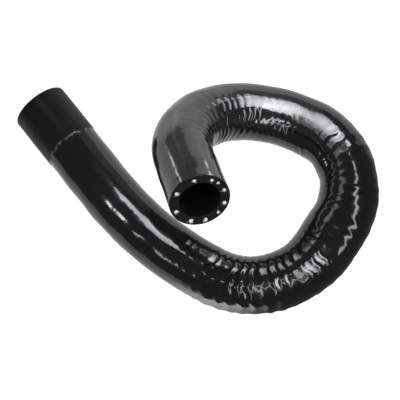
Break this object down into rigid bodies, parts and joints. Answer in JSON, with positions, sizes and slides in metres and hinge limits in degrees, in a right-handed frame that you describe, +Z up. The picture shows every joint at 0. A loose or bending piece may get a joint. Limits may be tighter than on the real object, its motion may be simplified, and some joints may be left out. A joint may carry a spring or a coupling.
{
  "type": "coolant reservoir hose",
  "caption": "Preformed rubber coolant hose that curls through a flat loop into a raised end, with a plain cuff and square cut ends.",
  "frame": {"origin": "on the surface that the hose lies on, under the middle of its box", "axes": "+Z up as the hose lies at rest; +X runs from the cuff's side to the loop's far side; +Y completes the frame"},
  "size_m": [0.1814, 0.1186, 0.0944],
  "materials": {
    "rubber": "glossy cured rubber cover, satin on the cuff",
    "yarn": "frayed cut yarn"
  },
  "bodies": {
    "root": {"hose": "rubber", "yarn_end_cuff_01": "yarn", "yarn_end_cuff_02": "yarn", "yarn_end_cuff_03": "yarn", "yarn_end_cuff_04": "yarn", "yarn_end_cuff_05": "yarn", "yarn_end_cuff_06": "yarn", "yarn_end_cuff_07": "yarn", "yarn_end_cuff_08": "yarn", "yarn_end_cuff_09": "yarn", "yarn_end_cuff_10": "yarn", "yarn_end_raised_01": "yarn", "yarn_end_raised_02": "yarn", "yarn_end_raised_03": "yarn", "yarn_end_raised_04": "yarn", "yarn_end_raised_05": "yarn", "yarn_end_raised_06": "yarn", "yarn_end_raised_07": "yarn", "yarn_end_raised_08": "yarn", "yarn_end_raised_09": "yarn", "yarn_end_raised_10": "yarn"}
  },
  "joints": []
}
